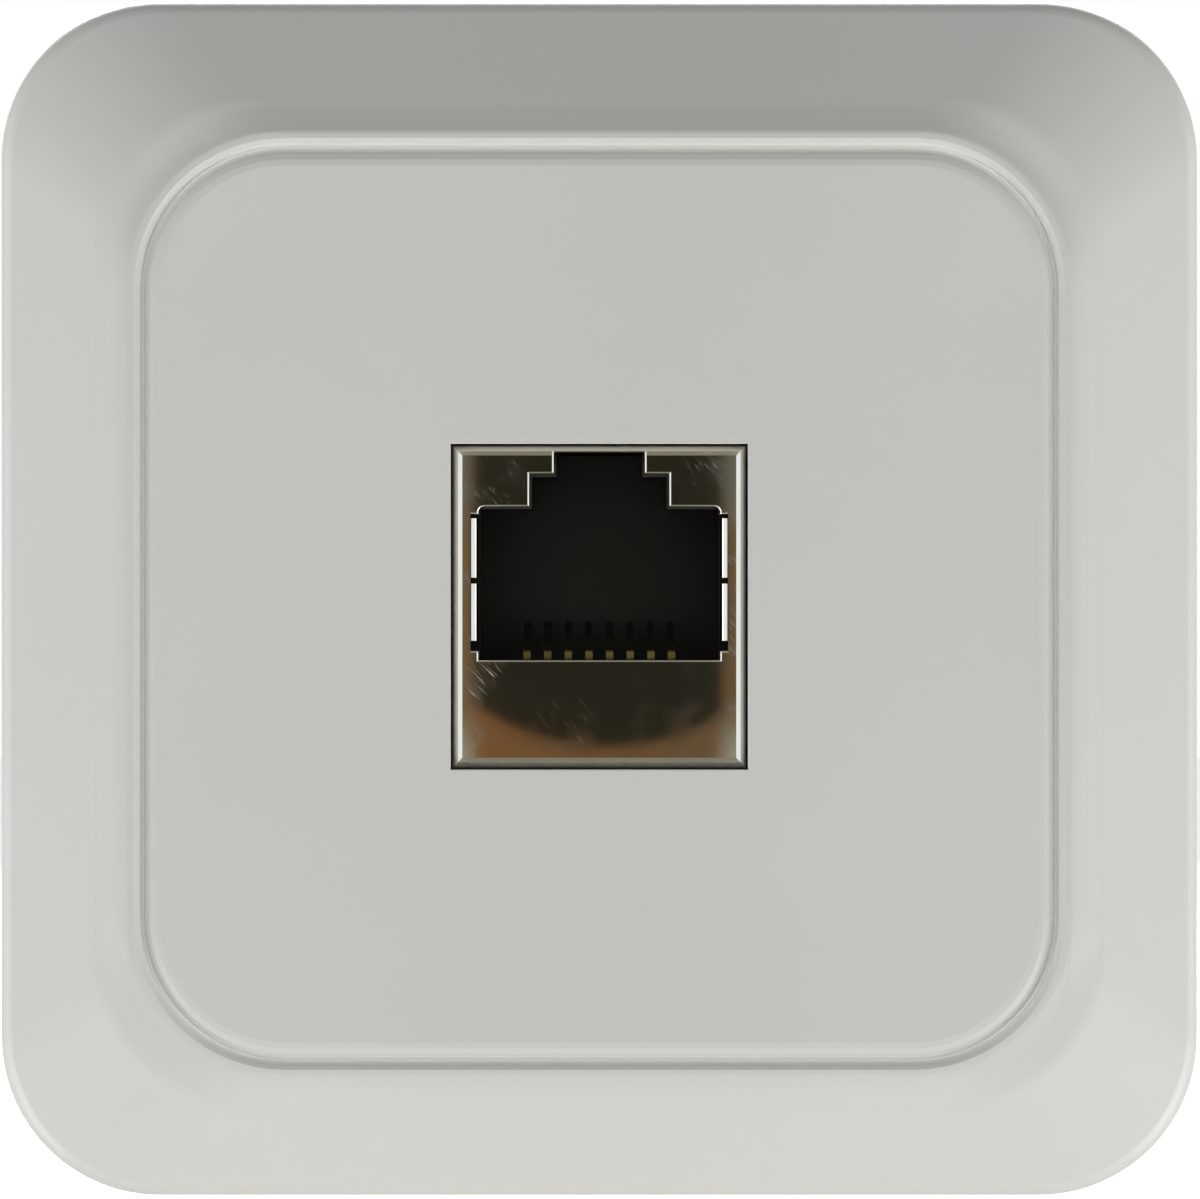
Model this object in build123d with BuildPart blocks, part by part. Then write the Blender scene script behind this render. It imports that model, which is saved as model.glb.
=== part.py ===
from build123d import *
import math
import os

# Telephone wall socket, surface mounted, in millimetres
# X runs to the right, Z runs up and the front faces -Y
# The origin is the centre of the face that lies on the wall
# Heights are counted from the wall towards the front, depths from the jack face towards the wall

# Front cover
plate_width = 60.0
plate_height = 59.85
plate_corner = 8.2
cover_front = 26.0
rim_gap = 0.4
side_draft = 1.0
border_width = 5.9
border_slope = 26.0
ridge_corner = 6.4
ridge_round = 3.8
edge_round = 1.0
panel_drop = 0.27
wall = 1.8

# Groove round the flat panel, measured to the middle of the groove
groove_half = 22.5
groove_corner = 7.0
groove_depth = 0.5
groove_width = 1.5

# Jack window and the guide collar behind it
jack_z = -0.4
window_width = 14.65
window_height = 16.05
collar_wall = 1.2
collar_depth = 3.5
window_edge = 0.06

# Folded metal shell of the jack
face_recess = 0.25
shell_width = 14.5
shell_height = 15.9
sheet = 0.3
fold_radius = 0.5
jack_depth = 17.5
shell_lift = 0.6
tail_width = 1.2
tail_z = 4.5

# Stepped plug opening, measured from the middle of the jack face
port_half = 5.95
port_top = 4.92
port_bottom = -2.63
step_half = 3.44
step_top = 6.55
notch_half = 2.23
opening_round = 0.28
opening_edge = 0.1

# Spring tabs folded inwards at both sides of the opening
tab_top = 4.35
tab_split = 1.28
tab_bottom = -1.68
tab_gap = 0.3
tab_fold = 0.4
tab_depth = 5.2
tab_relief = 0.2
tab_notch = 0.5

# Black housing and the insert for the wires
slip = 0.08
cavity_depth = 13.0
floor_thickness = 0.8
insert_half = 4.9
insert_front = 3.2
insert_back = 14.6
peg_x = 5.0
peg_z = 3.5
peg_size = 2.2

# Contact wires
contact_count = 8
contact_pitch = 1.02
wire = 0.36
row_spacing = 1.78
wire_front = 1.7
wire_tip_depth = 10.4

# Circuit board
board_width = 36.0
board_height = 30.0
board_thickness = 1.6
tail_reach = 1.3

# Terminal blocks
block_x = 12.6
block_width = 7.6
block_clearance = 1.1
block_height = 10.6
block_end = 0.4
clip_width = 2.6
clip_thickness = 0.5
wire_slot = 1.3
wire_slot_depth = 6.0
cap_thickness = 1.2

# Screen blade and board screws
blade_width = 2.8
blade_height = 7.5
screw_head = 2.2
screw_shank = 1.1
screw_grip = 4.4

# Base plate
base_gap = 0.25
base_thickness = 2.0
base_rim = 1.4
base_rim_top = 5.0
screw_slot_width = 4.5
screw_slot_length = 7.0
entry_width = 16.0
entry_height = 7.0
hook_z = 14.0
hook_width = 6.0
hook_thickness = 1.2
hook_barb = 0.8
catch_top = 9.2
catch_height = 1.7

# Sizes that follow from the ones above
draft_slope = math.tan(math.radians(side_draft))
border_run = border_width - (cover_front - rim_gap) * draft_slope
shoulder = cover_front - border_run * math.tan(math.radians(border_slope))
panel_back = cover_front - wall
jack_face = cover_front - face_recess
board_front = jack_face - jack_depth
board_back = board_front - board_thickness
notch_top = shell_height / 2 - sheet
tab_middle = (tab_top + tab_relief + tab_bottom - tab_notch) / 2
room_height = tab_top + tab_relief - tab_bottom + tab_notch
wire_z = port_bottom - floor_thickness - wire - 0.8
wire_top_z = port_bottom + 0.35
wire_tip_z = port_bottom + 1.7
base_half_x = plate_width / 2 - wall - base_gap
base_half_z = plate_height / 2 - wall - base_gap
contact_places = [(i - (contact_count - 1) / 2) * contact_pitch for i in range(contact_count)]
post_x = board_width / 2 - 3.5
post_z = board_height / 2 - 2.5
block_length = 2 * (post_z - screw_head + jack_z - block_clearance)
terminal_pitch = (block_length - 2 * block_end) / 4
terminal_places = [(i - 1.5) * terminal_pitch for i in range(4)]
blade_z = board_height / 2 - 3.1
screw_x = board_width / 2 + 3.5
entry_z = -base_half_z + entry_height / 2 + 3.4
post_spots = [(-post_x, post_z), (post_x, -post_z)]
rest_spots = [(post_x, post_z), (-post_x, -post_z)]

os.makedirs("parts", exist_ok=True)


def level(height):
    # Plane parallel to the wall, X to the right and Z up, facing the front
    return Plane.XZ.offset(height)


def depth(distance):
    # The same plane at a distance behind the jack face
    return Plane.XZ.offset(jack_face - distance)


def turn_round(edge):
    # Angle of an edge round the middle of the plate
    return math.atan2(edge.center().Z, edge.center().X)


def cover_form(inset, low, draft):
    # Block with a sloping border round its front, all moved inwards by the inset
    turn = inset * math.tan(math.radians(border_slope) / 2)
    brow = shoulder - inset + turn
    shrink = 2 * inset + 2 * (brow - low) * math.tan(math.radians(draft))
    with BuildSketch(level(brow)) as foot:
        RectangleRounded(plate_width - shrink, plate_height - shrink, plate_corner - shrink / 2)
    with BuildSketch(level(cover_front - inset)) as crest:
        with Locations((0, -panel_drop)):
            RectangleRounded(
                plate_width - 2 * border_width - 2 * turn,
                plate_height - 2 * border_width - 2 * turn,
                ridge_corner,
            )

    # Flat slope over each straight edge and a ruled surface over each corner
    foot_edges = sorted(foot.sketch.edges(), key=turn_round)
    crest_edges = sorted(crest.sketch.edges(), key=turn_round)
    faces = [foot.sketch.faces()[0], crest.sketch.faces()[0]]
    for below, above in zip(foot_edges, crest_edges):
        if below.geom_type == GeomType.LINE:
            faces.append(Face(Wire.make_polygon([below @ 0, below @ 1, above @ 1, above @ 0])))
        else:
            faces.append(Face.make_surface_from_curves(below, above))
    with BuildPart() as form:
        with BuildSketch(level(low)):
            RectangleRounded(plate_width - 2 * inset, plate_height - 2 * inset, plate_corner - inset)
        extrude(amount=brow - low, taper=draft)
        add(Solid(Shell(faces)))
    return form.part


# Front cover: outer form with the soft ridge and edge
cover_outside = cover_form(0, rim_gap, side_draft)
cover_inside = cover_form(wall, rim_gap - 1, 0)

with BuildPart() as front_cover:
    add(cover_outside)
    ridge = front_cover.edges().filter_by_position(Axis.Y, -cover_front - 0.01, -cover_front + 0.01)
    fillet(ridge, radius=ridge_round)
    brow = front_cover.edges().filter_by_position(Axis.Y, -shoulder - 0.01, -shoulder + 0.01)
    fillet(brow, radius=edge_round)

    # Soft groove that frames the flat panel
    with BuildLine(level(cover_front)) as groove_line:
        FilletPolyline(
            (-groove_half, -groove_half - panel_drop),
            (groove_half, -groove_half - panel_drop),
            (groove_half, groove_half - panel_drop),
            (-groove_half, groove_half - panel_drop),
            radius=groove_corner,
            close=True,
        )
    forward = groove_line.line % 0
    inward = Vector(0, -1, 0).cross(forward)
    with BuildSketch(Plane(groove_line.line @ 0, x_dir=inward, z_dir=forward)) as groove_profile:
        with BuildLine():
            Polyline(
                (-groove_width * 0.3, 0.3),
                (-groove_width * 0.3, 0),
                (-groove_width * 0.17, -groove_depth * 0.25),
                (-groove_width * 0.04, -groove_depth),
                (groove_width * 0.04, -groove_depth),
                (groove_width * 0.22, -groove_depth * 0.35),
                (groove_width * 0.4, -groove_depth * 0.1),
                (groove_width * 0.6, 0),
                (groove_width * 0.6, 0.3),
                close=True,
            )
        make_face()
    sweep(path=groove_line.wires()[0], mode=Mode.SUBTRACT)

    # Hollow inside
    add(cover_inside, mode=Mode.SUBTRACT)

    # Guide collar and the window for the jack
    with BuildSketch(level(panel_back - collar_depth)):
        with Locations((0, jack_z)):
            Rectangle(window_width + 2 * collar_wall, window_height + 2 * collar_wall)
    extrude(amount=collar_depth + wall / 2)
    with BuildSketch(level(0)):
        with Locations((0, jack_z)):
            Rectangle(window_width, window_height)
    extrude(amount=cover_front + 1, mode=Mode.SUBTRACT)
    front_edges = front_cover.edges().filter_by_position(Axis.Y, -cover_front - 0.01, -cover_front + 0.01)
    fillet(front_edges.filter_by(lambda edge: edge.center().length < cover_front + 2), radius=window_edge)

    # Ribs that stop on the rim of the base
    rib_z = plate_height / 2 - wall / 2 - 2
    with BuildSketch(level(base_rim_top)):
        with Locations(*[(x, z) for x in (-14, 14) for z in (-rib_z, rib_z)]):
            Rectangle(1.6, 4)
    extrude(amount=shoulder - 4 - base_rim_top)

    # Catches for the hooks of the base
    catch_inner = base_half_x - hook_barb + 0.1
    catch_outer = plate_width / 2 - wall / 2
    with BuildSketch(level(catch_top - catch_height)):
        with Locations(*[(s * (catch_inner + catch_outer) / 2, z) for s in (-1, 1) for z in (-hook_z, hook_z)]):
            Rectangle(catch_outer - catch_inner, hook_width - 1)
    extrude(amount=catch_height)

    # Arched line for the cable knock-out, thinned from the inside of the lower wall
    with BuildSketch(Plane.XY.offset(-plate_height / 2 + wall * 0.45)):
        with Locations((0, -rim_gap - 3)):
            SlotOverall(15.6, 9.8, rotation=90)
            SlotOverall(14, 8.2, rotation=90, mode=Mode.SUBTRACT)
    extrude(amount=wall, mode=Mode.SUBTRACT)

    # Two slots in the lower edge for opening the cover with a screwdriver
    with BuildSketch(level(rim_gap - 1)):
        with Locations((-19, -plate_height / 2), (19, -plate_height / 2)):
            Rectangle(6, 3 * wall)
    extrude(amount=2.2, mode=Mode.SUBTRACT)


def opening_side(place):
    # True inside the outer folds, apart from the two edges that the spring tabs hang on
    across = abs(place.X)
    return across < port_half + tab_fold - 0.05 and abs(place.Z - jack_z) < shell_height / 2 - fold_radius - 0.05


# Metal shell: one folded sheet with an open back
with BuildPart() as jack_shell:
    with BuildSketch(depth(jack_depth - shell_lift)):
        with Locations((0, jack_z)):
            Rectangle(shell_width, shell_height)
    extrude(amount=jack_depth - shell_lift)
    fillet(jack_shell.faces().sort_by(Axis.Y)[0].edges(), radius=fold_radius)
    offset(amount=-sheet, openings=jack_shell.faces().sort_by(Axis.Y)[-1])

    # Seams between the four walls behind the folds
    with BuildSketch(depth(0.9)):
        with Locations((0, jack_z)):
            with GridLocations(shell_width, shell_height, 2, 2):
                Rectangle(1, 1)
    extrude(amount=-jack_depth, mode=Mode.SUBTRACT)

    # Stepped plug opening, drawn round the middle of the jack
    with BuildSketch(Plane(origin=(0, -jack_face - 1, jack_z), x_dir=(1, 0, 0), z_dir=(0, -1, 0))) as opening:
        with BuildLine():
            Polyline(
                (-port_half, port_bottom),
                (port_half, port_bottom),
                (port_half, port_top),
                (step_half, port_top),
                (step_half, step_top),
                (notch_half, step_top),
                (notch_half, notch_top),
                (-notch_half, notch_top),
                (-notch_half, step_top),
                (-step_half, step_top),
                (-step_half, port_top),
                (-port_half, port_top),
                close=True,
            )
        make_face()
        for row in opening.vertices().group_by(Axis.Y)[1:3]:
            fillet([row.sort_by(Axis.X)[0], row.sort_by(Axis.X)[-1]], radius=opening_round)

        # Room for the folds of the side tabs and their relief notches
        with Locations((0, tab_middle)):
            Rectangle(2 * (port_half + tab_fold), room_height)
    extrude(amount=-1 - sheet - 0.05, mode=Mode.SUBTRACT)
    face_edges = jack_shell.edges().filter_by_position(Axis.Y, -jack_face - 0.01, -jack_face + 0.01)
    fillet(face_edges.filter_by(lambda edge: opening_side(edge.center())), radius=opening_edge)

    # Two spring tabs at each side, folded back into the opening
    for side in (-1, 1):
        for tab_low, tab_high in ((tab_bottom, tab_split - tab_gap / 2), (tab_split + tab_gap / 2, tab_top)):
            with BuildSketch(Plane.XY.offset(jack_z + (tab_low + tab_high) / 2)) as tab_profile:
                with BuildLine():
                    Polyline(
                        (side * (port_half + tab_fold + 0.1), -jack_face),
                        (side * port_half, -jack_face),
                        (side * port_half, -jack_face + tab_depth),
                        (side * (port_half + sheet), -jack_face + tab_depth),
                        (side * (port_half + sheet), -jack_face + sheet),
                        (side * (port_half + tab_fold + 0.1), -jack_face + sheet),
                        close=True,
                    )
                make_face()
                outer_bend = (side * port_half, -jack_face)
                inner_bend = (side * (port_half + sheet), -jack_face + sheet)
                fillet(tab_profile.vertices().sort_by_distance(outer_bend)[0], radius=tab_fold)
                fillet(tab_profile.vertices().sort_by_distance(inner_bend)[0], radius=tab_fold - sheet)
            extrude(amount=(tab_high - tab_low) / 2, both=True)

    # Windows in the side walls that the housing snaps into
    with BuildSketch(Plane.YZ) as snap_windows:
        with Locations((-jack_face + 10.5, jack_z)):
            Rectangle(3.2, 2.6)
    extrude(amount=shell_width, both=True, mode=Mode.SUBTRACT)

    # Tails soldered into the board
    tail_x = shell_width / 2 - sheet / 2
    with BuildSketch(depth(jack_depth - shell_lift)):
        with Locations(*[(s * tail_x, jack_z + z) for s in (-1, 1) for z in (-tail_z, tail_z)]):
            Rectangle(sheet, tail_width)
    extrude(amount=-shell_lift - board_thickness - tail_reach)

# Black housing with the plug cavity
housing_half = shell_width / 2 - sheet - slip
housing_half_z = shell_height / 2 - sheet - slip
pocket_bottom = wire_z - row_spacing - wire
with BuildPart() as jack_housing:
    with BuildSketch(depth(jack_depth)):
        with Locations((0, jack_z)):
            Rectangle(2 * housing_half, 2 * housing_half_z)
    extrude(amount=jack_depth - sheet)
    chamfer(jack_housing.faces().sort_by(Axis.Y)[0].edges(), length=fold_radius)

    # Cavity for the plug
    with BuildSketch(depth(cavity_depth)):
        with Locations((0, jack_z)):
            with Locations((0, (port_top + port_bottom) / 2 - 0.1)):
                Rectangle(2 * port_half - 0.1, port_top - port_bottom)
            with Locations((0, step_top - 2 - 0.15)):
                Rectangle(2 * step_half - 0.2, 4)
            with Locations((0, step_top)):
                Rectangle(2 * notch_half - 0.2, 4)
    extrude(amount=cavity_depth, mode=Mode.SUBTRACT)

    # Recesses beside the cavity for the side tabs
    with BuildSketch(depth(tab_depth + 0.3)):
        with Locations((0, jack_z + tab_middle)):
            Rectangle(2 * (port_half + fold_radius), room_height)
    extrude(amount=tab_depth, mode=Mode.SUBTRACT)

    # Pocket for the insert, open towards the board
    pocket_top = port_bottom - floor_thickness
    with BuildSketch(depth(jack_depth)):
        with Locations((0, jack_z + (pocket_top + pocket_bottom) / 2)):
            Rectangle(2 * insert_half + 0.1, pocket_top - pocket_bottom)
    extrude(amount=jack_depth - wire_front + 0.5, mode=Mode.SUBTRACT)

    # Comb of slots in the floor that guides the wires
    with BuildSketch(depth(wire_tip_depth + 1)):
        with Locations(*[(x, jack_z + port_bottom - floor_thickness / 2) for x in contact_places]):
            Rectangle(wire + 0.2, floor_thickness + 0.6)
    extrude(amount=wire_tip_depth + 1 - wire_front + 0.5, mode=Mode.SUBTRACT)

    # Snap noses in the windows of the shell
    for side in (-1, 1):
        with BuildSketch(Plane.YZ.offset(side * housing_half)):
            with Locations((-jack_face + 10.5, jack_z)):
                Rectangle(2.6, 2)
        extrude(amount=side * (slip + sheet * 0.6))

    # Pegs that locate it in the board
    with BuildSketch(depth(jack_depth)):
        with Locations((-peg_x, jack_z + peg_z), (peg_x, jack_z + peg_z)):
            Rectangle(peg_size, peg_size)
    extrude(amount=-board_thickness - 0.6)

# Insert that carries the wires
with BuildPart() as contact_carrier:
    insert_top = pocket_top - 0.1
    insert_bottom = pocket_bottom + 0.1
    with BuildSketch(depth(insert_back)):
        with Locations((0, jack_z + (insert_top + insert_bottom) / 2)):
            Rectangle(2 * insert_half, insert_top - insert_bottom)
    extrude(amount=insert_back - insert_front)
    chamfer(contact_carrier.faces().sort_by(Axis.Y)[0].edges().filter_by(Axis.X), length=0.4)
    with BuildSketch(depth(insert_back)):
        with Locations(*[(x, jack_z + (insert_top + wire_z - wire / 2) / 2) for x in contact_places]):
            Rectangle(wire + 0.06, insert_top - wire_z + wire / 2)
    extrude(amount=insert_back, mode=Mode.SUBTRACT)


def contact_wire(index):
    # Square wire from the board, round the front of the insert and back up into the cavity
    row = row_spacing if index % 2 else 0
    x = contact_places[index]
    y = -jack_face
    tail = y + jack_depth + board_thickness + tail_reach
    with BuildPart() as contact:
        jog = [(y + insert_back + 1.7, jack_z + wire_z - row), (y + insert_back + 0.9, jack_z + wire_z)]
        with BuildLine(Plane.YZ.offset(x)) as bend_line:
            FilletPolyline(
                (tail, jack_z + wire_z - row),
                *(jog if row else []),
                (y + wire_front + 0.5, jack_z + wire_z),
                (y + wire_front, jack_z + wire_top_z),
                (y + wire_tip_depth, jack_z + wire_tip_z),
                radius=[0] * (2 if row else 0) + [wire] * 2,
            )
        with BuildSketch(Plane(origin=(x, tail, jack_z + wire_z - row), x_dir=(1, 0, 0), z_dir=(0, -1, 0))):
            Rectangle(wire, wire)
        sweep(path=bend_line.line)
    return contact.part


# Circuit board with its holes
with BuildPart() as circuit_board:
    with BuildSketch(level(board_back)):
        RectangleRounded(board_width, board_height, 1)
        with Locations(*[(x, jack_z + wire_z - row_spacing * (i % 2)) for i, x in enumerate(contact_places)]):
            Rectangle(wire + 0.3, wire + 0.3, mode=Mode.SUBTRACT)
        with Locations((-peg_x, jack_z + peg_z), (peg_x, jack_z + peg_z)):
            Rectangle(peg_size + 0.2, peg_size + 0.2, mode=Mode.SUBTRACT)
        with Locations(*[(s * tail_x, jack_z + z) for s in (-1, 1) for z in (-tail_z, tail_z)]):
            Rectangle(sheet + 0.4, tail_width + 0.4, mode=Mode.SUBTRACT)
        with Locations(*[(s * block_x, jack_z + z) for s in (-1, 1) for z in terminal_places]):
            Rectangle(clip_thickness + 0.4, 1.2, mode=Mode.SUBTRACT)
        with Locations(*post_spots):
            Circle(1.4, mode=Mode.SUBTRACT)
        with Locations((-0.95, blade_z), (0.95, blade_z)):
            Rectangle(1.2, 0.9, mode=Mode.SUBTRACT)
    extrude(amount=board_thickness)


def terminal_block(side):
    # Moulded block with four wire slots and a pocket for a clip under each
    with BuildPart() as block:
        with BuildSketch(level(board_front)):
            with Locations((side * block_x, jack_z)):
                Rectangle(block_width, block_length)
        extrude(amount=block_height)
        chamfer(block.faces().sort_by(Axis.Y)[0].edges().filter_by(Axis.Z), length=0.8)
        with BuildSketch(level(board_front + block_height)):
            with Locations(*[(side * block_x, jack_z + z) for z in terminal_places]):
                Rectangle(2 * block_width, wire_slot)
        extrude(amount=-wire_slot_depth, mode=Mode.SUBTRACT)
        with BuildSketch(level(board_front)):
            with Locations(*[(side * block_x, jack_z + z) for z in terminal_places]):
                Rectangle(clip_thickness + 0.1, clip_width + 0.1)
        extrude(amount=block_height - 1, mode=Mode.SUBTRACT)
    return block.part


def terminal_contact(index):
    # Flat fork that cuts into the wire, with a solder tail
    side = -1 if index < 4 else 1
    z = jack_z + terminal_places[index % 4]
    low = board_front + 0.5
    high = board_front + block_height - 1.4
    with BuildPart() as contact:
        with BuildSketch(Plane.YZ.offset(side * block_x)) as outline:
            with BuildLine():
                Polyline(
                    (-low, z - clip_width / 2),
                    (-high, z - clip_width / 2),
                    (-high, z - 0.5),
                    (-high + 0.9, z - 0.18),
                    (-high + 4.4, z - 0.18),
                    (-high + 4.4, z + 0.18),
                    (-high + 0.9, z + 0.18),
                    (-high, z + 0.5),
                    (-high, z + clip_width / 2),
                    (-low, z + clip_width / 2),
                    (-low, z + 0.4),
                    (-board_back + tail_reach, z + 0.4),
                    (-board_back + tail_reach, z - 0.4),
                    (-low, z - 0.4),
                    close=True,
                )
            make_face()
        extrude(amount=clip_thickness / 2, both=True)
    return contact.part


def terminal_cap(side):
    # Lid with a short fin either side of each fork and a skirt at both ends
    cap_seat = board_front + block_height
    with BuildPart() as cap:
        with BuildSketch(level(cap_seat)):
            with Locations((side * block_x, jack_z)):
                Rectangle(block_width - 1.6, block_length + 2.4)
        extrude(amount=cap_thickness)
        with BuildSketch(level(cap_seat)):
            with Locations(*[(side * block_x + s * 2.1, jack_z + z) for s in (-1, 1) for z in terminal_places]):
                Rectangle(1.4, wire_slot - 0.2)
        extrude(amount=-3)
        with BuildSketch(level(cap_seat)):
            with Locations(*[(side * block_x, jack_z + s * (block_length / 2 + 0.65)) for s in (-1, 1)]):
                Rectangle(block_width - 1.6, 1.1)
        extrude(amount=-5)
        chamfer(cap.faces().sort_by(Axis.Y)[0].edges(), length=0.3)
    return cap.part


# Blade for the cable screen, standing on two solder tails
with BuildPart() as ground_tab:
    with BuildSketch(Plane.XY.offset(blade_z)) as blade:
        with Locations((0, -board_front - blade_height / 2)):
            Rectangle(blade_width, blade_height)
        chamfer(blade.vertices().group_by(Axis.Y)[0], length=0.6)
        with Locations((-0.95, -board_front + 1), (0.95, -board_front + 1)):
            Rectangle(0.8, 2 * board_thickness + 2.6)
    extrude(amount=0.25, both=True)

# Two pan-head screws that hold the board
with BuildPart() as board_screws:
    with BuildSketch(level(board_front)):
        with Locations(*post_spots):
            Circle(screw_head)
    extrude(amount=1.5)
    with BuildSketch(level(board_front)):
        with Locations(*post_spots):
            Circle(screw_shank)
    extrude(amount=-board_thickness - screw_grip)
    with BuildSketch(level(board_front + 2)):
        with Locations(*post_spots):
            Rectangle(screw_head, 0.5)
            Rectangle(0.5, screw_head)
    extrude(amount=-1.3, mode=Mode.SUBTRACT)

# Base plate with its rim, posts and snap hooks
with BuildPart() as base_plate:
    base_corner = plate_corner - wall - base_gap
    with BuildSketch(level(0)):
        RectangleRounded(2 * base_half_x, 2 * base_half_z, base_corner)
    extrude(amount=base_thickness)

    # Rim with gaps for the hooks and for the cable
    with BuildSketch(level(base_thickness)):
        RectangleRounded(2 * base_half_x - 0.2, 2 * base_half_z - 0.2, base_corner)
        inner_corner = base_corner - base_rim
        RectangleRounded(
            2 * base_half_x - 0.2 - 2 * base_rim,
            2 * base_half_z - 0.2 - 2 * base_rim,
            inner_corner,
            mode=Mode.SUBTRACT,
        )
        with Locations(*[(s * base_half_x, z) for s in (-1, 1) for z in (-hook_z, hook_z)]):
            Rectangle(8, hook_width + 2, mode=Mode.SUBTRACT)
        with Locations((0, -base_half_z)):
            Rectangle(13, 8, mode=Mode.SUBTRACT)
    extrude(amount=base_rim_top - base_thickness)

    # Posts under the board, each tied to the rim by a rib
    with BuildSketch(level(base_thickness)):
        with Locations(*post_spots):
            Rectangle(4.4, 4.4)
        with Locations(*rest_spots):
            Rectangle(4, 3)
    extrude(amount=board_back - base_thickness)
    rib_reach = base_half_z - base_rim / 2 - post_z
    with BuildSketch(level(base_thickness)):
        with Locations(*[(x, math.copysign(post_z + rib_reach / 2, z)) for x, z in post_spots + rest_spots]):
            Rectangle(1.2, rib_reach)
    extrude(amount=base_rim_top - base_thickness - 0.6)
    with BuildSketch(level(board_back)):
        with Locations(*post_spots):
            Circle(screw_shank + 0.05)
    extrude(amount=-5.2, mode=Mode.SUBTRACT)

    # Snap hooks for the cover
    arm = base_half_x - hook_barb - 0.05
    for side in (-1, 1):
        for z in (-hook_z, hook_z):
            with BuildSketch(Plane.XY.offset(z)):
                with BuildLine():
                    Polyline(
                        (side * (arm - hook_thickness), -base_thickness),
                        (side * arm, -base_thickness),
                        (side * arm, -catch_top - 0.1),
                        (side * (arm + hook_barb), -catch_top - 0.1),
                        (side * (arm + hook_barb), -catch_top - 0.6),
                        (side * (arm - 0.2), -catch_top - 3),
                        (side * (arm - hook_thickness), -catch_top - 3),
                        close=True,
                    )
                make_face()
            extrude(amount=hook_width / 2, both=True)

    # Slots for the wall screws and the entry for the cable
    with BuildSketch(level(-1)):
        with Locations((-screw_x, 0), (screw_x, 0)):
            SlotOverall(screw_slot_length, screw_slot_width)
        with Locations((0, entry_z)):
            SlotOverall(entry_width, entry_height)
    extrude(amount=base_thickness + 2, mode=Mode.SUBTRACT)

# Every piece in its own file
pieces = {
    "front_cover": front_cover.part,
    "jack_shell": jack_shell.part,
    "jack_housing": jack_housing.part,
    "contact_carrier": contact_carrier.part,
    "circuit_board": circuit_board.part,
    "ground_tab": ground_tab.part,
    "board_screws": board_screws.part,
    "base_plate": base_plate.part,
    "terminal_block_left": terminal_block(-1),
    "terminal_block_right": terminal_block(1),
    "terminal_cap_left": terminal_cap(-1),
    "terminal_cap_right": terminal_cap(1),
}
for index in range(contact_count):
    pieces[f"contact_wire_{index + 1}"] = contact_wire(index)
    pieces[f"terminal_contact_{index + 1}"] = terminal_contact(index)
for name, piece in pieces.items():
    piece.label = name
    export_step(piece, f"parts/{name}.step")
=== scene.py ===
import math

import bpy
import numpy as np
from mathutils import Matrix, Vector


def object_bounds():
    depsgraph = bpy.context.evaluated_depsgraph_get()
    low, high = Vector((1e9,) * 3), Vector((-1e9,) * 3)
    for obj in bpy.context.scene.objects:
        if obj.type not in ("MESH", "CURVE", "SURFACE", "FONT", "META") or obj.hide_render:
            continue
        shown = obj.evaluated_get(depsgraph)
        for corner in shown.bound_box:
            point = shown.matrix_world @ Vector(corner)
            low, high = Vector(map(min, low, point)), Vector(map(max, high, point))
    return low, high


# Telephone wall socket: finishes, stage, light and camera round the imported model
# Everything is in metres, X to the right, Z up, and the front faces -Y

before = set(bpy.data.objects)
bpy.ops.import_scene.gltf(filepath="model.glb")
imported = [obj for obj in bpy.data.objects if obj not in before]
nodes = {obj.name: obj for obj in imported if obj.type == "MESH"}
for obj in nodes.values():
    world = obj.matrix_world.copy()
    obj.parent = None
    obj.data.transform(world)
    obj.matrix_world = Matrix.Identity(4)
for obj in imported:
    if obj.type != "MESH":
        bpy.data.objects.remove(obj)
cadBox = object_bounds()
boxLow = cadBox[0]
scene = bpy.context.scene
scene.view_settings.view_transform = "Standard"
print("frame loaded:", len(nodes), "nodes")


# Node helpers: a value given to them is either a plain value or the output of another node

def addNode(tree, kind, x, y, **settings):
    node = tree.nodes.new(kind)
    node.location = (x, y)
    for name, value in settings.items():
        setattr(node, name, value)
    return node


def feed(tree, socket, value):
    if isinstance(value, bpy.types.NodeSocket):
        tree.links.new(value, socket)
    else:
        socket.default_value = value


def feedAll(tree, node, values):
    for label, value in values.items():
        feed(tree, node.inputs[label], value)
    return node


def addMath(tree, x, y, operation, *values, **settings):
    node = addNode(tree, "ShaderNodeMath", x, y, operation=operation, **settings)
    for socket, value in zip(node.inputs, values):
        feed(tree, socket, value)
    return node.outputs["Value"]


def addVectorMath(tree, x, y, operation, *values):
    node = addNode(tree, "ShaderNodeVectorMath", x, y, operation=operation)
    for socket, value in zip(node.inputs, values):
        feed(tree, socket, value)
    return node.outputs["Value" if operation == "LENGTH" else "Vector"]


def addNoise(tree, x, y, coords, scale, detail, rough):
    noise = addNode(tree, "ShaderNodeTexNoise", x, y)
    feedAll(tree, noise, {"Vector": coords, "Scale": scale, "Detail": detail, "Roughness": rough})
    return noise.outputs["Fac"]


def remap(tree, x, y, value, span, low=0.0, high=1.0, steps="LINEAR"):
    # Carries a value's span over to the range from low to high and holds it there
    node = addNode(tree, "ShaderNodeMapRange", x, y, interpolation_type=steps)
    ends = {"From Min": span[0], "From Max": span[1], "To Min": low, "To Max": high}
    return feedAll(tree, node, {"Value": value, **ends}).outputs["Result"]


def mixColours(tree, x, y, factor, low, high):
    mix = addNode(tree, "ShaderNodeMix", x, y, data_type="RGBA")
    for label, value in (("Factor", factor), ("A", low), ("B", high)):
        feed(tree, mix.inputs[label], (*value, 1) if isinstance(value, tuple) else value)
    return mix.outputs["Result"]


def addBump(tree, x, y, height, strength, distance, **settings):
    bump = addNode(tree, "ShaderNodeBump", x, y, **settings)
    return feedAll(tree, bump, {"Height": height, "Strength": strength, "Distance": distance})


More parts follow.
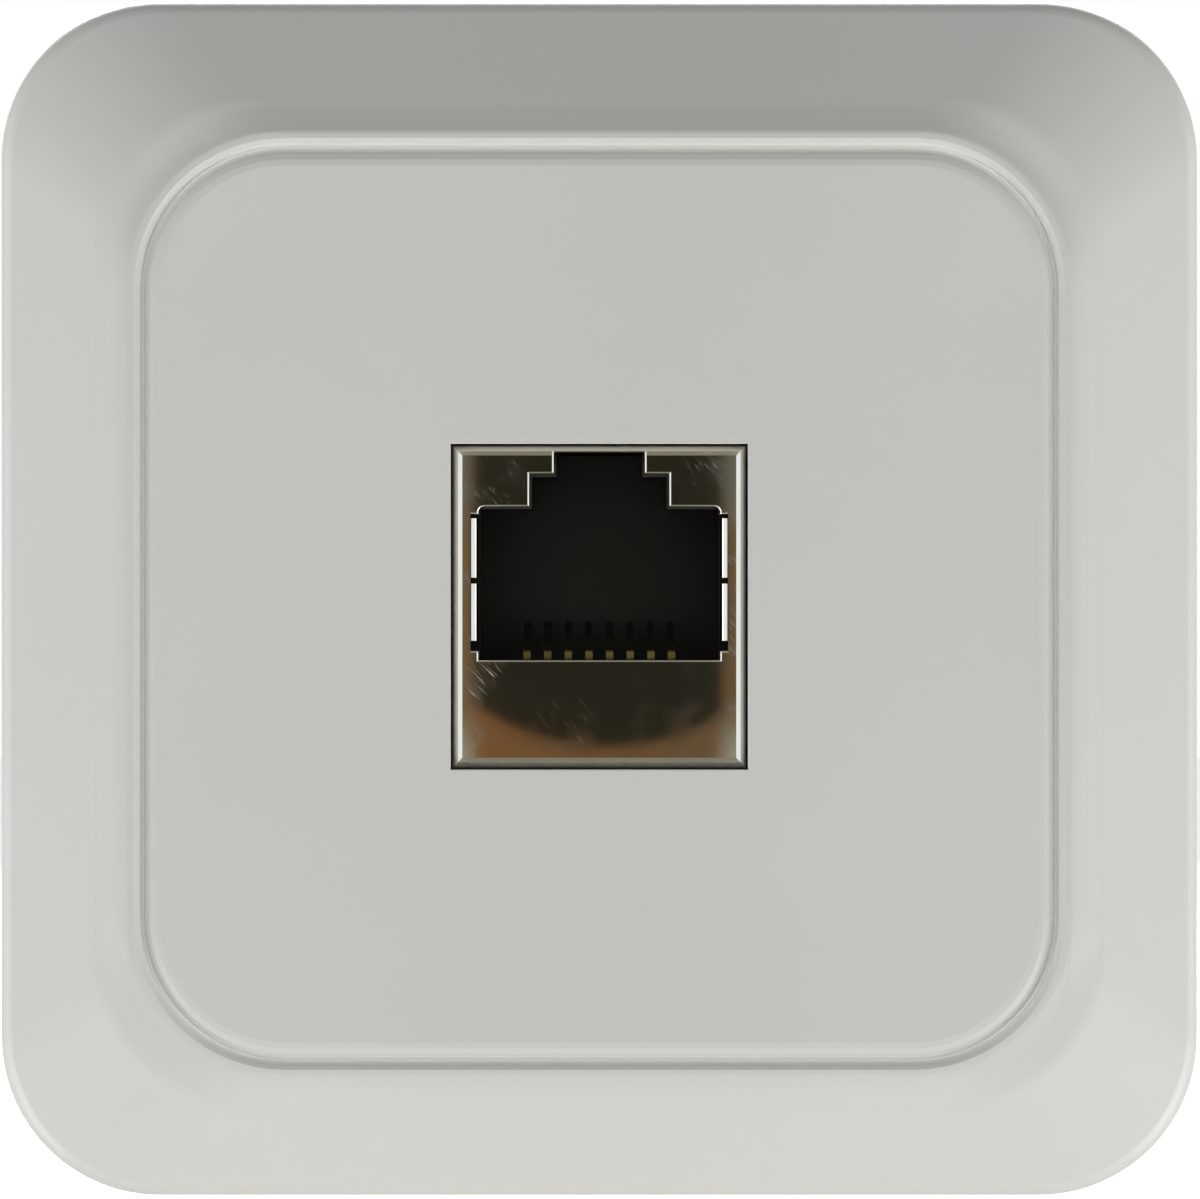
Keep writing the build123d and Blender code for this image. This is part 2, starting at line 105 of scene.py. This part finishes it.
def emptyTree(owner):
    owner.use_nodes = True
    owner.node_tree.nodes.clear()
    return owner.node_tree


def newMaterial(name):
    material = bpy.data.materials.new(name)
    tree = emptyTree(material)
    output = addNode(tree, "ShaderNodeOutputMaterial", 900, 0)
    shader = addNode(tree, "ShaderNodeBsdfPrincipled", 600, 0)
    place = addNode(tree, "ShaderNodeTexCoord", -900, 0)
    tree.links.new(shader.outputs["BSDF"], output.inputs["Surface"])
    return material, tree, shader, place.outputs["Object"]


def newGroup(name, inputs, outputs):
    group = bpy.data.node_groups.new(name, "ShaderNodeTree")
    group.interface.new_socket("Vector", in_out="INPUT", socket_type="NodeSocketVector")
    for label, value in inputs.items():
        socket = group.interface.new_socket(label, in_out="INPUT", socket_type="NodeSocketFloat")
        socket.default_value = value
    for label in outputs:
        group.interface.new_socket(label, in_out="OUTPUT", socket_type="NodeSocketFloat")
    start = addNode(group, "NodeGroupInput", -900, 0)
    end = addNode(group, "NodeGroupOutput", 900, 0)
    return group, start.outputs, end


def useGroup(tree, group, x, y, coords, values):
    node = addNode(tree, "ShaderNodeGroup", x, y, node_tree=group)
    return feedAll(tree, node, {"Vector": coords, **values}).outputs


# Shared effects

skinLook = {
    "inputs": {"Grain Scale": 5200.0, "Cloud Scale": 55.0},
    "grainDetail": 2.0,
    "grainRough": 0.55,
    "cloudDetail": 3.0,
    "cloudRough": 0.5,
}


def makeSkin(look):
    # Skin of a made part: a small grain for the height and a slow cloud for tone and gloss
    group, given, end = newGroup("mouldedSkin", look["inputs"], ["Height", "Cloud"])
    coords = given["Vector"]
    grain = addNoise(group, -500, 250, coords, given["Grain Scale"], look["grainDetail"], look["grainRough"])
    cloud = addNoise(group, -500, 0, coords, given["Cloud Scale"], look["cloudDetail"], look["cloudRough"])
    feedAll(group, end, {"Height": grain, "Cloud": cloud})
    return group


scratchLook = {
    "inputs": {"Angle": 0.7, "Count": 9000.0, "Length": 260.0, "Amount": 0.5},
    "lineScale": 1.0,
    "lineDetail": 2.0,
    "lineRough": 0.7,
    "lineCut": (0.62, 0.7),
    "patchScale": 310.0,
    "patchDetail": 2.0,
    "patchRough": 0.6,
    "patchCut": (0.45, 0.65),
}


def makeScratches(look):
    # Fine straight scratches: noise drawn out along a direction in the XZ plane, kept only in patches
    group, given, end = newGroup("fineScratches", look["inputs"], ["Mask"])
    turn = addNode(group, "ShaderNodeVectorRotate", -650, 150, rotation_type="Y_AXIS")
    feedAll(group, turn, {"Vector": given["Vector"], "Angle": given["Angle"]})
    stretch = addNode(group, "ShaderNodeCombineXYZ", -650, -100)
    feedAll(group, stretch, {"X": given["Length"], "Y": given["Count"], "Z": given["Count"]})
    drawn = addVectorMath(group, -400, 100, "MULTIPLY", turn.outputs["Vector"], stretch.outputs["Vector"])
    lines = addNoise(group, -150, 150, drawn, look["lineScale"], look["lineDetail"], look["lineRough"])
    patches = addNoise(
        group, -150, -150, given["Vector"], look["patchScale"], look["patchDetail"], look["patchRough"]
    )
    sharp = remap(group, 100, 150, lines, look["lineCut"])
    where = remap(group, 100, -150, patches, look["patchCut"])
    both = addMath(group, 350, 50, "MULTIPLY", sharp, where)
    feed(group, end.inputs["Mask"], addMath(group, 550, 50, "MULTIPLY", both, given["Amount"]))
    return group


mouldedSkin = makeSkin(skinLook)
fineScratches = makeScratches(scratchLook)
print("shared effects made")


# Finishes

toneSpan = (0.35, 0.65)  # part of the cloud that runs from one tone to the other
glossSpan = (0.3, 0.7)  # part of the cloud that runs from the low to the high roughness


def useSkin(tree, x, y, coords, look):
    return useGroup(
        tree, mouldedSkin, x, y, coords,
        {"Grain Scale": look["grainScale"], "Cloud Scale": look["cloudScale"]},
    )


def shadeBorder(tree, coords, look):
    # Border of the cover: the slope's tilt runs on to the groove, and the groove is painted paler, a painted
    # light over the shade of its walls.
    # Distance from a rounded square: length of max(p, 0) plus min(max(px, pz), 0), with p the point
    # in one quarter, counted from the middle of the corner's arc. It is the corner's radius along
    # the middle of the groove. Taking the depth range off in Y leaves only X and Z to count
    reach = look["half"] - look["corner"]
    quarter = addVectorMath(
        tree, -1300, -700, "ABSOLUTE", addVectorMath(tree, -1500, -700, "SUBTRACT", coords, look["centre"])
    )
    fromCorner = addVectorMath(tree, -1100, -700, "SUBTRACT", quarter, (reach, look["depthRange"], reach))
    outer = addVectorMath(tree, -900, -600, "MAXIMUM", fromCorner, (0.0, 0.0, 0.0))
    away = addVectorMath(tree, -700, -600, "LENGTH", outer)
    split = addNode(tree, "ShaderNodeSeparateXYZ", -900, -850)
    feed(tree, split.inputs["Vector"], fromCorner)
    larger = addMath(tree, -700, -850, "MAXIMUM", split.outputs["X"], split.outputs["Z"])
    inner = addMath(tree, -550, -850, "MINIMUM", larger, 0.0)
    distance = addMath(tree, -400, -700, "ADD", away, inner)
    depth = addNode(tree, "ShaderNodeSeparateXYZ", -200, -1050)
    feed(tree, depth.inputs["Vector"], coords)
    front = remap(tree, 0, -1050, depth.outputs["Y"], look["frontSpan"])

    # The curve gives the height at each distance from the middle of the groove
    low, high = look["profile"][0][0], look["profile"][-1][0]
    along = remap(tree, -200, -700, distance, (look["corner"] + low, look["corner"] + high))
    curve = addNode(tree, "ShaderNodeFloatCurve", 0, -700)
    feed(tree, curve.inputs["Value"], along)
    points = curve.mapping.curves[0].points
    while len(points) < len(look["profile"]):
        points.new(0.5, 0.5)  # every point gets its real place below
    for point, (place, height) in zip(points, look["profile"]):
        point.location = ((place - low) / (high - low), height / look["tallest"])
        point.handle_type = "AUTO_CLAMPED"
    curve.mapping.update()
    height = addMath(tree, 250, -800, "MULTIPLY", curve.outputs["Value"], front)
    bump = addBump(tree, 450, -600, height, 1.0, look["tallest"])

    # Painted light: a paler colour fills the groove, the same way to both sides of its middle, lifting the
    # shade that its walls cast
    fromMiddle = addMath(tree, -200, -1300, "SUBTRACT", distance, look["corner"])
    eitherWay = addMath(tree, 0, -1300, "ABSOLUTE", fromMiddle)
    paintedGrooveLight = remap(tree, 200, -1300, eitherWay, look["paintedLightSpan"], steps="SMOOTHSTEP")
    return bump.outputs["Normal"], addMath(tree, 450, -1100, "MULTIPLY", paintedGrooveLight, front)


def mouldedPlastic(name, look, border=None):
    # Moulded plastic: tone and gloss drift slowly, a fine grain breaks the highlight
    material, tree, shader, coords = newMaterial(name)
    skin = useSkin(tree, -600, 0, coords, look)
    drift = remap(tree, -350, 200, skin["Cloud"], toneSpan)
    tone = mixColours(tree, -150, 250, drift, look["colour"], look["colourWorn"])
    gloss = remap(tree, -150, 0, skin["Cloud"], glossSpan, look["roughLow"], look["roughHigh"])
    bump = addBump(tree, 250, -250, skin["Height"], look["bump"], look["grainDepth"])
    if border:
        slope, paintedGrooveMask = shadeBorder(tree, coords, border)
        feed(tree, bump.inputs["Normal"], slope)
        # Painted light: the groove takes a paler colour in place of the shade its walls cast
        tone = mixColours(tree, 250, 350, paintedGrooveMask, tone, border["paintedLightColour"])
    feedAll(tree, shader, {
        "Base Color": tone, "Roughness": gloss, "Normal": bump.outputs["Normal"], "IOR": look["ior"],
    })
    return material


def finishMetal(tree, shader, look, marks, tone, gloss):
    rough = addMath(tree, 150, 0, "MULTIPLY_ADD", marks, look["scratchRough"], gloss, use_clamp=True)
    bump = addBump(tree, 250, -250, marks, look["bump"], look["scratchDepth"], invert=True)
    feedAll(tree, shader, {
        "Base Color": tone, "Roughness": rough, "Normal": bump.outputs["Normal"], "Metallic": 1.0,
    })


def wornMetal(name, look):
    # Rolled or plated metal: scratches raise the roughness, clouds of handling dull the tone
    material, tree, shader, coords = newMaterial(name)
    skin = useSkin(tree, -600, 250, coords, look)
    marks = useGroup(tree, fineScratches, -600, -50, coords, {
        "Angle": look["angle"], "Count": look["scratchCount"],
        "Length": look["scratchLength"], "Amount": look["scratches"],
    })
    cross = useGroup(tree, fineScratches, -600, -300, coords, {
        "Angle": look["angle"] + look["crossTurn"], "Count": look["scratchCount"] * look["crossCount"],
        "Length": look["crossLength"], "Amount": look["scratches"] * look["crossAmount"],
    })
    allMarks = addMath(tree, -350, -150, "MAXIMUM", marks["Mask"], cross["Mask"])
    drift = remap(tree, -350, 300, skin["Cloud"], toneSpan)
    tone = mixColours(tree, -120, 300, drift, look["colour"], look["colourWorn"])
    gloss = remap(tree, -120, 50, skin["Cloud"], glossSpan, look["roughLow"], look["roughHigh"])
    finishMetal(tree, shader, look, allMarks, tone, gloss)
    return material


def stampedSteel(name, look):
    # Bright tinned sheet: haze of handling, fine scuffs all over, one patch of parallel scratches
    material, tree, shader, coords = newMaterial(name)
    skin = useSkin(tree, -650, 450, coords, look)
    scuffs = useGroup(tree, fineScratches, -650, -50, coords, {
        "Angle": look["scuffAngle"], "Count": look["scuffCount"],
        "Length": look["scuffLength"], "Amount": look["scuffs"],
    })
    patch = useGroup(tree, fineScratches, -650, -350, coords, {
        "Angle": look["patchAngle"], "Count": look["patchCount"],
        "Length": look["patchLength"], "Amount": look["patch"],
    })
    fromPatch = addVectorMath(tree, -900, -700, "SUBTRACT", coords, look["patchPlace"])
    flat = addVectorMath(tree, -700, -700, "MULTIPLY", fromPatch, (1.0, 0.0, 1.0))
    distance = addVectorMath(tree, -500, -700, "LENGTH", flat)
    near = remap(tree, -300, -700, distance, look["patchSpan"], steps="SMOOTHSTEP")
    patchMarks = addMath(tree, -350, -350, "MULTIPLY", patch["Mask"], near)
    allMarks = addMath(tree, -150, -200, "MAXIMUM", scuffs["Mask"], patchMarks)
    haze = remap(tree, -400, 350, skin["Cloud"], look["hazeSpan"])
    tone = mixColours(tree, -120, 400, haze, look["colour"], look["colourWorn"])
    gloss = remap(tree, -120, 150, haze, (0.0, 1.0), look["roughLow"], look["roughHigh"])
    finishMetal(tree, shader, look, allMarks, tone, gloss)
    return material


def maskedBoard(name, look):
    # Laminate under solder mask: copper tracks show through as lighter lines, with a fine weave below
    material, tree, shader, coords = newMaterial(name)
    skin = useSkin(tree, -650, 0, coords, look)
    tracks = addNode(
        tree, "ShaderNodeTexVoronoi", -650, 300, feature="DISTANCE_TO_EDGE", distance="MANHATTAN"
    )
    feedAll(tree, tracks, {
        "Vector": coords, "Scale": look["trackScale"], "Randomness": look["trackDisorder"],
    })
    line = remap(tree, -400, 300, tracks.outputs["Distance"], look["trackSpan"])
    tone = mixColours(tree, -150, 250, line, look["colour"], look["trackColour"])
    gloss = remap(tree, -150, 0, skin["Cloud"], glossSpan, look["roughLow"], look["roughHigh"])
    raised = addMath(tree, 50, -250, "MULTIPLY_ADD", skin["Height"], look["weave"], line)
    bump = addBump(tree, 250, -250, raised, look["bump"], look["trackHeight"])
    feedAll(tree, shader, {
        "Base Color": tone, "Roughness": gloss, "Normal": bump.outputs["Normal"], "IOR": look["ior"],
    })
    return material


finishes = {}

coverLook = {
    "colour": (0.628, 0.622, 0.592),
    "colourWorn": (0.618, 0.608, 0.572),
    "grainScale": 5200.0,
    "cloudScale": 48.0,
    "roughLow": 0.36,
    "roughHigh": 0.43,
    "grainDepth": 0.00002,
    "bump": 0.12,
    "ior": 1.5,
}
finishes["white_plastic"] = mouldedPlastic("whitePlastic", coverLook)

# Distances are counted outwards from the middle of the groove, heights towards the front
borderLook = {
    "centre": (0.0, 0.0, -0.00027),
    "half": 0.0225,
    "corner": 0.007,
    "depthRange": 1.0,  # anything more than the part's depth
    "tallest": 0.001,  # height at the top of the curve's scale
    "frontSpan": (-0.0247, -0.0249),  # only the front face is shaded, not the side walls
    "profile": [
        (-0.0016, 0.00043),
        (-0.00033, 0.00043),
        (-0.00006, 0.00050),
        (0.00006, 0.00050),
        (0.000255, 0.000445),
        (0.00045, 0.000425),
        (0.00072, 0.00040),
        (0.00095, 0.000322),
        (0.0012, 0.000223),
        (0.0016, 0.000101),
        (0.0020, 0.000025),
        (0.0024, 0.0),
        (0.0030, 0.0),
    ],
    # Painted light: across this span the groove's colour rises to the paler tone below
    "paintedLightSpan": (0.0003, 0.0001),
    "paintedLightColour": (0.79, 0.78, 0.745),
}
finishes["front_cover"] = mouldedPlastic("coverPlastic", coverLook, borderLook)

housingLook = {
    "colour": (0.0135, 0.0122, 0.0080),
    "colourWorn": (0.0165, 0.0148, 0.0098),
    "grainScale": 6000.0,
    "cloudScale": 160.0,
    "roughLow": 0.5,
    "roughHigh": 0.6,
    "grainDepth": 0.00002,
    "bump": 0.2,
    "ior": 1.25,
}
finishes["black_plastic"] = mouldedPlastic("blackPlastic", housingLook)

blockLook = {
    "colour": (0.56, 0.55, 0.52),
    "colourWorn": (0.53, 0.52, 0.48),
    "grainScale": 4200.0,
    "cloudScale": 90.0,
    "roughLow": 0.45,
    "roughHigh": 0.55,
    "grainDepth": 0.00003,
    "bump": 0.2,
    "ior": 1.5,
}
finishes["terminal_plastic"] = mouldedPlastic("terminalPlastic", blockLook)

boardLook = {
    "colour": (0.026, 0.105, 0.045),
    "trackColour": (0.055, 0.190, 0.080),
    "trackScale": 260.0,
    "trackDisorder": 0.35,
    "trackSpan": (0.11, 0.0825),
    "trackHeight": 0.00004,
    "grainScale": 2600.0,
    "cloudScale": 120.0,
    "roughLow": 0.28,
    "roughHigh": 0.38,
    "weave": 0.15,
    "bump": 0.5,
    "ior": 1.5,
}
finishes["board_laminate"] = maskedBoard("boardLaminate", boardLook)

shellLook = {
    "colour": (0.62, 0.60, 0.53),
    "colourWorn": (0.58, 0.55, 0.47),
    "grainScale": 3000.0,
    "cloudScale": 620.0,
    "hazeSpan": (0.48, 0.78),
    "scuffAngle": -0.9,
    "scuffCount": 17000.0,
    "scuffLength": 1100.0,
    "scuffs": 0.27,
    "patchAngle": -0.78,
    "patchCount": 16000.0,
    "patchLength": 330.0,
    "patch": 1.0,
    "patchPlace": (-0.0048, 0.0, -0.0049),
    "patchSpan": (0.0028, 0.00098),
    "scratchRough": 0.36,
    "scratchDepth": 0.000006,
    "roughLow": 0.045,
    "roughHigh": 0.095,
    "bump": 0.12,
}
finishes["tinned_steel"] = stampedSteel("tinnedSteel", shellLook)

# The second set of scratches, laid across the first, is the same on every small metal piece
crossMarks = {
    "scratchLength": 240.0,
    "crossTurn": 1.9,
    "crossCount": 1.3,
    "crossLength": 420.0,
    "crossAmount": 0.5,
}

contactLook = {
    **crossMarks,
    # The contacts' gold is painted dark brown, a painted shade for the unlit cavity they sit in
    "colour": (0.125, 0.095, 0.034),
    "colourWorn": (0.075, 0.056, 0.022),
    "grainScale": 3000.0,
    "cloudScale": 400.0,
    "angle": 1.57,
    "scratchCount": 26000.0,
    "scratches": 0.5,
    "scratchRough": 0.25,
    "scratchDepth": 0.000005,
    "roughLow": 0.3,
    "roughHigh": 0.4,
    "bump": 0.2,
}
finishes["gold_plating"] = wornMetal("goldPlating", contactLook)

clipLook = {
    **crossMarks,
    "colour": (0.62, 0.50, 0.36),
    "colourWorn": (0.52, 0.42, 0.31),
    "grainScale": 3000.0,
    "cloudScale": 300.0,
    "angle": 1.2,
    "scratchCount": 15000.0,
    "scratches": 0.6,
    "scratchRough": 0.2,
    "scratchDepth": 0.000006,
    "roughLow": 0.22,
    "roughHigh": 0.34,
    "bump": 0.2,
}
finishes["clip_bronze"] = wornMetal("clipBronze", clipLook)

screwLook = {
    **crossMarks,
    "colour": (0.60, 0.61, 0.62),
    "colourWorn": (0.52, 0.51, 0.48),
    "grainScale": 3000.0,
    "cloudScale": 350.0,
    "angle": 0.4,
    "scratchCount": 12000.0,
    "scratches": 0.6,
    "scratchRough": 0.2,
    "scratchDepth": 0.000008,
    "roughLow": 0.2,
    "roughHigh": 0.32,
    "bump": 0.2,
}
finishes["screw_steel"] = wornMetal("screwSteel", screwLook)

for piece in nodes.values():
    for slot in piece.material_slots:
        slot.material = finishes[slot.material.name.split(".")[0]]
nodes["front_cover"].material_slots[0].material = finishes["front_cover"]
print("finishes assigned:", len(finishes))


# Stage: a plain pale floor for the camera, and a glowing card of painted reflections that only reflections
# see

def seenRays(tree):
    # 1 where the camera, a reflection or a see-through part looks, 0 where light is gathered
    path = addNode(tree, "ShaderNodeLightPath", -400, -300).outputs
    seen = addMath(tree, -200, -300, "MAXIMUM", path["Is Camera Ray"], path["Is Glossy Ray"])
    return addMath(tree, 0, -300, "MAXIMUM", seen, path["Is Transmission Ray"])


def makeGrid(name, count, reachX, reachY, place):
    # Flat grid: x and y run evenly over their reach to both sides, and place carries the whole
    # array of points to where the sheet lies or stands
    across, along = np.meshgrid(np.linspace(-reachX, reachX, count), np.linspace(-reachY, reachY, count))
    corner = np.arange(count * count).reshape(count, count)
    faces = np.stack([corner[:-1, :-1], corner[:-1, 1:], corner[1:, 1:], corner[1:, :-1]], axis=-1)
    mesh = bpy.data.meshes.new(name)
    mesh.from_pydata(place(across.ravel(), along.ravel()).tolist(), [], faces.reshape(-1, 4).tolist())
    mesh.update()
    sheet = bpy.data.objects.new(name, mesh)
    scene.collection.objects.link(sheet)
    return sheet


floorLook = {
    "count": 9,
    "reach": 1.6,
    "colour": (0.9, 0.9, 0.895),
    "colourSoft": (0.88, 0.88, 0.875),
    "cloudScale": 9.0,
    "cloudDetail": 3.0,
    "cloudRough": 0.5,
    "rough": 0.7,
    "lift": 0.72,
}


def makeFloor(look):
    def lying(x, y):
        return np.stack([x, y, np.full_like(x, boxLow[2])], axis=-1)

    floor = makeGrid("floor", look["count"], look["reach"], look["reach"], lying)
    material, tree, shader, coords = newMaterial("paleFloor")
    cloud = addNoise(tree, -500, 200, coords, look["cloudScale"], look["cloudDetail"], look["cloudRough"])
    lift = addMath(tree, 300, -300, "MULTIPLY", seenRays(tree), look["lift"])
    feedAll(tree, shader, {
        "Base Color": mixColours(tree, -150, 200, cloud, look["colour"], look["colourSoft"]),
        "Roughness": look["rough"],
        "Emission Color": (1, 1, 1, 1),
        "Emission Strength": lift,
    })
    floor.data.materials.append(material)
    floor.visible_shadow = False
    floor.visible_diffuse = False
    floor.visible_glossy = False


makeFloor(floorLook)

# Painted reflection: a glowing card, no lamp, painted with what the jack's metal mirrors: a dark shape with
# a round foot before dim, warm tones, with bright sides that paint highlights on the metal's folds. Spans
# are distances across or heights between which one tone fades into the next
paintedReflectionLook = {
    "count": 5,
    "place": -0.086,
    "reachAcross": 0.12,
    "reachUp": 0.6,
    "darkMiddle": -0.0001,
    "darkSpan": (0.0065, 0.0071),
    "arcMiddle": (0.00036, 0.0, 0.0041),
    "arcSpan": (0.0119, 0.0125),
    "warmSpan": (-0.006, 0.006),
    "sideSpan": (-0.001, 0.001),
    "sideTopSpan": (0.0035, 0.0055),
    "sideFootSpan": (-0.0092, -0.0055),
    "stripSpan": (0.0064, 0.0074),
    "farSpan": (0.0092, 0.0105),
    "paintedHighlightSpan": (0.0078, 0.0092),
    # Colours of the painted reflections; the brightest glows above 1 as a painted highlight
    "dark": (0.028, 0.026, 0.017),
    "warmLeft": (0.26, 0.127, 0.05),
    "warmRight": (0.20, 0.12, 0.06),
    "sideLeft": (0.24, 0.15, 0.07),
    "sideRight": (0.18, 0.115, 0.05),
    "sideTop": (0.17, 0.17, 0.13),
    "sideFoot": (0.46, 0.43, 0.36),
    "far": (0.33, 0.31, 0.25),
    "paintedHighlight": (1.25, 1.33, 1.45),
}


def makePaintedReflectionCard(look):
    def standing(x, y):
        return np.stack([x, np.full_like(x, look["place"]), y], axis=-1)

    card = makeGrid("paintedReflectionCard", look["count"], look["reachAcross"], look["reachUp"], standing)
    material = bpy.data.materials.new("paintedReflectionTones")
    tree = emptyTree(material)
    coords = addNode(tree, "ShaderNodeTexCoord", -1300, 0).outputs["Object"]
    split = addNode(tree, "ShaderNodeSeparateXYZ", -1000, 0)
    feed(tree, split.inputs["Vector"], coords)
    right, up = split.outputs["X"], split.outputs["Z"]
    wide = addMath(
        tree, -700, 200, "ABSOLUTE", addMath(tree, -850, 200, "SUBTRACT", right, look["darkMiddle"])
    )
    high = addMath(tree, -500, -500, "ABSOLUTE", up)

    def fade(x, y, value, span):
        return remap(tree, x, y, value, look[span], steps="SMOOTHSTEP")

    # Painted dark reflection: upright sides, and a round foot where the height is below the middle of its
    # arc
    fromMiddle = addVectorMath(tree, -1000, -200, "SUBTRACT", coords, look["arcMiddle"])
    below = addVectorMath(tree, -700, -200, "MINIMUM", fromMiddle, (1.0, 0.0, 0.0))
    flat = addVectorMath(tree, -400, -200, "MULTIPLY", below, (1.0, 0.0, 1.0))
    away = addVectorMath(tree, -100, -200, "LENGTH", flat)
    outside = addMath(
        tree, 300, 0, "MAXIMUM", fade(100, 150, wide, "darkSpan"), fade(100, -100, away, "arcSpan")
    )

    # Painted reflection: warm tones below, dimmer strips beside the dark shape, lighter towards the foot
    acrossWarm = fade(200, -300, right, "warmSpan")
    acrossSide = fade(200, -450, right, "sideSpan")
    warm = mixColours(tree, 400, -200, acrossWarm, look["warmLeft"], look["warmRight"])
    side = mixColours(tree, 400, -450, acrossSide, look["sideLeft"], look["sideRight"])
    side = mixColours(tree, 600, -450, fade(400, -650, up, "sideTopSpan"), side, look["sideTop"])
    side = mixColours(tree, 800, -450, fade(600, -650, up, "sideFootSpan"), look["sideFoot"], side)
    behind = mixColours(tree, 1000, -300, fade(800, -650, wide, "stripSpan"), warm, side)
    tone = mixColours(tree, 1100, 0, outside, look["dark"], behind)

    # Beyond what the flat face mirrors: painted reflection, dim above and below, and a painted highlight
    # glow at both sides
    tone = mixColours(tree, 1200, -100, fade(1000, -500, high, "farSpan"), tone, look["far"])
    tone = mixColours(tree, 1350, 0, fade(1200, -400, wide, "paintedHighlightSpan"), tone, look["paintedHighlight"])
    # The card glows though it is no lamp, so its tones show only as painted reflections
    glow = addNode(tree, "ShaderNodeEmission", 1500, 0)
    output = addNode(tree, "ShaderNodeOutputMaterial", 1700, 0)
    feed(tree, glow.inputs["Color"], tone)
    feed(tree, output.inputs["Surface"], glow.outputs["Emission"])
    card.data.materials.append(material)
    card.visible_camera = False
    card.visible_diffuse = False
    card.visible_shadow = False


makePaintedReflectionCard(paintedReflectionLook)
print("stage made")


# World: white to the eye and in reflections, dim as a light

worldLook = {"fill": 0.03, "seen": 1.0}


def makeWorld(look):
    world = bpy.data.worlds.new("whiteStudio")
    tree = emptyTree(world)
    output = addNode(tree, "ShaderNodeOutputWorld", 600, 0)
    back = addNode(tree, "ShaderNodeBackground", 400, 0)
    level = remap(tree, 200, -50, seenRays(tree), (0.0, 1.0), look["fill"], look["seen"])
    feedAll(tree, back, {"Color": (1, 1, 1, 1), "Strength": level})
    feed(tree, output.inputs["Surface"], back.outputs["Background"])
    world.cycles.sampling_method = "NONE"  # only scattered rays gather it, so the card blocks none of it
    scene.world = world


makeWorld(worldLook)
print("world made")


# Lamps: soft boxes aimed at the middle of the object

lampTarget = Vector((0, -0.02, 0))
lamps = {
    "front": {"from": (0.0, -1.0, 0.1), "distance": 0.55, "size": (0.4, 0.4), "power": 1.055},
    "leftLow": {"from": (-0.8, -0.3, -0.5), "distance": 0.55, "size": (0.35, 0.35), "power": 2.08},
    "rightLow": {"from": (0.8, -0.3, -0.5), "distance": 0.55, "size": (0.35, 0.35), "power": 2.5},
    "leftUp": {"from": (-0.85, -0.3, 0.45), "distance": 0.55, "size": (0.35, 0.35), "power": 0.2},
    "leftSide": {"from": (-1.0, -0.08, 0.0), "distance": 0.55, "size": (0.3, 0.3), "power": 0.6},
    "rightSide": {"from": (1.0, -0.08, 0.0), "distance": 0.55, "size": (0.3, 0.3), "power": 0.55},
    "behind": {"from": (0.0, 0.8, 0.6), "distance": 0.6, "size": (0.4, 0.3), "power": 3.5},
}
unmirroredLamp = "front"  # would show as a white patch in the jack's metal face


def makeLamp(name, look):
    direction = Vector(look["from"]).normalized()
    data = bpy.data.lights.new(name, "AREA")
    data.shape = "RECTANGLE"
    data.size, data.size_y = look["size"]
    data.energy = look["power"]
    lamp = bpy.data.objects.new(name, data)
    lamp.location = lampTarget + direction * look["distance"]
    lamp.rotation_euler = (-direction).to_track_quat("-Z", "Y").to_euler()
    lamp.visible_camera = False
    lamp.visible_glossy = name != unmirroredLamp
    scene.collection.objects.link(lamp)


for name, look in lamps.items():
    makeLamp(name, look)
print("lamps made:", len(lamps))


# Camera: straight on, a long lens at 0.6 m

cameraLook = {
    "place": (0.000035, -0.6, -0.00005),
    "halfField": 0.05149,  # half the width of the view over its distance
    "sensor": 36.0,
    "clip": (0.01, 10.0),
}


def makeCamera(look):
    data = bpy.data.cameras.new("camera")
    data.sensor_width = look["sensor"]
    data.lens = look["sensor"] / 2 / look["halfField"]
    data.clip_start, data.clip_end = look["clip"]
    camera = bpy.data.objects.new("camera", data)
    camera.location = look["place"]
    camera.rotation_euler = (math.pi / 2, 0, 0)
    scene.collection.objects.link(camera)
    scene.camera = camera


makeCamera(cameraLook)
print("camera set")
